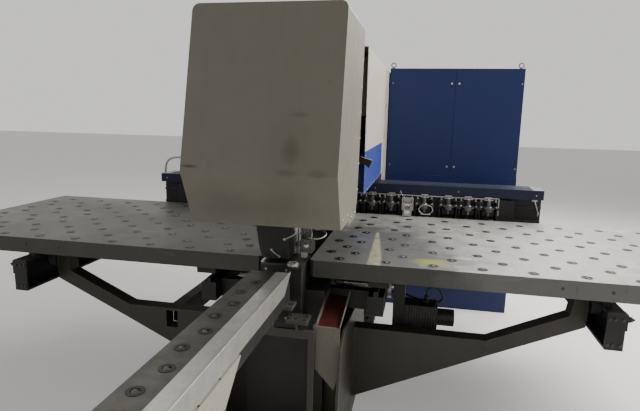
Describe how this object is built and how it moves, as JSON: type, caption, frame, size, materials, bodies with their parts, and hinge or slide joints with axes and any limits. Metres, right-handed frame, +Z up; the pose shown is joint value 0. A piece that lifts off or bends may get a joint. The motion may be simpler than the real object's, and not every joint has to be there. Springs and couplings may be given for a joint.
{
  "type": "cnc punch press",
  "caption": "C-frame sheet-metal punching machine with a punching head, a linear tool magazine on a coordinate guide, ball tables and a control cabinet.",
  "frame": {"origin": "on the floor, under the punch axis", "axes": "+X to the machine's right seen from the front, +Y to the back, +Z up"},
  "size_m": [4.5, 4.035, 2.075],
  "materials": {
    "cream_paint": "satin, slightly yellowed",
    "blue_paint": "satin",
    "navy_paint": "satin",
    "black_paint": "semi-matt",
    "table_steel": "bare, mottled and stained",
    "bright_steel": "machined, bright",
    "grey_casting": "painted grey",
    "cabinet_gear": "grey apparatus housings",
    "ball_steel": "polished, worn dull"
  },
  "bodies": {
    "machine": {"base_frame": "cream_paint", "c_frame": "cream_paint", "arm_hood": "cream_paint", "blue_panels": "blue_paint", "rear_hood": "cream_paint", "hydraulic_unit": "grey_casting", "head_block": "black_paint", "press_cylinder": "grey_casting", "head_cover": "cream_paint", "cover_bracket": "black_paint", "guard_housing": "black_paint", "guard_loop": "bright_steel", "die_block": "black_paint", "die_plate": "table_steel", "centre_strip": "table_steel", "edge_bar": "bright_steel", "strip_beam": "black_paint", "strip_ball_cups": "ball_steel", "strip_balls": "ball_steel", "front_pedestal": "cream_paint", "slug_chute": "cream_paint", "outrigger_right": "cream_paint", "outrigger_left": "cream_paint", "cable_trough": "cream_paint", "y_guide_beams": "black_paint", "y_motor": "black_paint", "cabinet_body": "navy_paint", "cabinet_fittings": "cabinet_gear"},
    "y_carriage": {"wing_right": "table_steel", "wing_left": "table_steel", "wing_ball_cups": "ball_steel", "wing_balls": "ball_steel", "guide_beam": "navy_paint", "beam_top_cover": "navy_paint", "wing_carriers": "black_paint", "y_blocks": "bright_steel", "outer_rails": "black_paint", "x_motor": "grey_casting"},
    "x_carriage": {"cross_rail": "black_paint", "x_blocks": "bright_steel", "tool_cassettes": "black_paint", "stored_punches": "bright_steel", "stored_dies": "bright_steel", "clamp_bodies": "bright_steel"},
    "x_pinion": {"x_pinion": "bright_steel"},
    "clamp_jaw_left": {"clamp_jaw_left": "bright_steel"},
    "clamp_jaw_right": {"clamp_jaw_right": "bright_steel"},
    "ram": {"ram": "bright_steel"},
    "punch_holder": {"punch_holder": "bright_steel"},
    "stripper": {"stripper": "bright_steel"},
    "die_rotor": {"die_rotor": "bright_steel"},
    "y_drive_shaft": {"y_drive_shaft": "bright_steel"},
    "roller_right": {"roller_right": "grey_casting"},
    "roller_left": {"roller_left": "grey_casting"},
    "door_left": {"door_left": "navy_paint"},
    "door_right": {"door_right": "navy_paint"},
    "lock_left_top": {"lock_left_top": "bright_steel"},
    "lock_left_low": {"lock_left_low": "bright_steel"},
    "lock_right_top": {"lock_right_top": "bright_steel"},
    "lock_right_low": {"lock_right_low": "bright_steel"}
  },
  "joints": [
    {"name": "y_slide", "type": "slide", "parent": "machine", "child": "y_carriage", "axis": [0, -1, 0], "range_m": [0, 1.215]},
    {"name": "x_slide", "type": "slide", "parent": "y_carriage", "child": "x_carriage", "axis": [1, 0, 0], "range_m": [-1.235, 1.235]},
    {"name": "y_shaft_spin", "type": "hinge", "parent": "machine", "child": "y_drive_shaft", "pos_m": [0, 0.23, 0.707], "axis": [1, 0, 0], "range_deg": [0, 1165]},
    {"name": "x_pinion_spin", "type": "hinge", "parent": "y_carriage", "child": "x_pinion", "pos_m": [0, 1.29, 1.096], "axis": [0, -1, 0], "range_deg": [-1970, 1970]},
    {"name": "roller_right_spin", "type": "hinge", "parent": "machine", "child": "roller_right", "pos_m": [1.5, 0.1125, 0.7477], "axis": [1, 0, 0], "range_deg": [0, 1395]},
    {"name": "roller_left_spin", "type": "hinge", "parent": "machine", "child": "roller_left", "pos_m": [-1.5, 0.1125, 0.7477], "axis": [1, 0, 0], "range_deg": [0, 1395]},
    {"name": "ram_slide", "type": "slide", "parent": "machine", "child": "ram", "axis": [0, 0, -1], "range_m": [0, 0.04]},
    {"name": "punch_spin", "type": "hinge", "parent": "ram", "child": "punch_holder", "pos_m": [0, 0, 1], "axis": [0, 0, 1], "continuous": true},
    {"name": "die_spin", "type": "hinge", "parent": "machine", "child": "die_rotor", "pos_m": [0, 0, 0.88], "axis": [0, 0, 1], "continuous": true},
    {"name": "stripper_slide", "type": "slide", "parent": "machine", "child": "stripper", "axis": [0, 0, -1], "range_m": [0, 0.003]},
    {"name": "clamp_left_hinge", "type": "hinge", "parent": "x_carriage", "child": "clamp_jaw_left", "pos_m": [-0.545, 1.232, 0.978], "axis": [-1, 0, 0], "range_deg": [0, 12]},
    {"name": "clamp_right_hinge", "type": "hinge", "parent": "x_carriage", "child": "clamp_jaw_right", "pos_m": [0.545, 1.232, 0.978], "axis": [-1, 0, 0], "range_deg": [0, 12]},
    {"name": "door_left_hinge", "type": "hinge", "parent": "machine", "child": "door_left", "pos_m": [0.342, 1.861, 1.6], "axis": [0, 0, -1], "range_deg": [0, 90]},
    {"name": "door_right_hinge", "type": "hinge", "parent": "machine", "child": "door_right", "pos_m": [1.381, 1.861, 1.6], "axis": [0, 0, 1], "range_deg": [0, 110]},
    {"name": "lock_left_top_turn", "type": "hinge", "parent": "door_left", "child": "lock_left_top", "pos_m": [0.8325, 1.86, 1.904], "axis": [0, 1, 0], "range_deg": [0, 90]},
    {"name": "lock_left_low_turn", "type": "hinge", "parent": "door_left", "child": "lock_left_low", "pos_m": [0.8325, 1.86, 1.231], "axis": [0, 1, 0], "range_deg": [0, 90]},
    {"name": "lock_right_top_turn", "type": "hinge", "parent": "door_right", "child": "lock_right_top", "pos_m": [0.8905, 1.86, 1.904], "axis": [0, -1, 0], "range_deg": [0, 90]},
    {"name": "lock_right_low_turn", "type": "hinge", "parent": "door_right", "child": "lock_right_low", "pos_m": [0.8905, 1.86, 1.231], "axis": [0, -1, 0], "range_deg": [0, 90]}
  ],
  "couplings": [
    {"joint": "y_shaft_spin", "follows": "y_slide", "rad_per_m": 16.667},
    {"joint": "roller_right_spin", "follows": "y_slide", "rad_per_m": 20},
    {"joint": "roller_left_spin", "follows": "y_slide", "rad_per_m": 20},
    {"joint": "x_pinion_spin", "follows": "x_slide", "rad_per_m": 27.778},
    {"joint": "die_spin", "follows": "punch_spin", "ratio": 1}
  ]
}
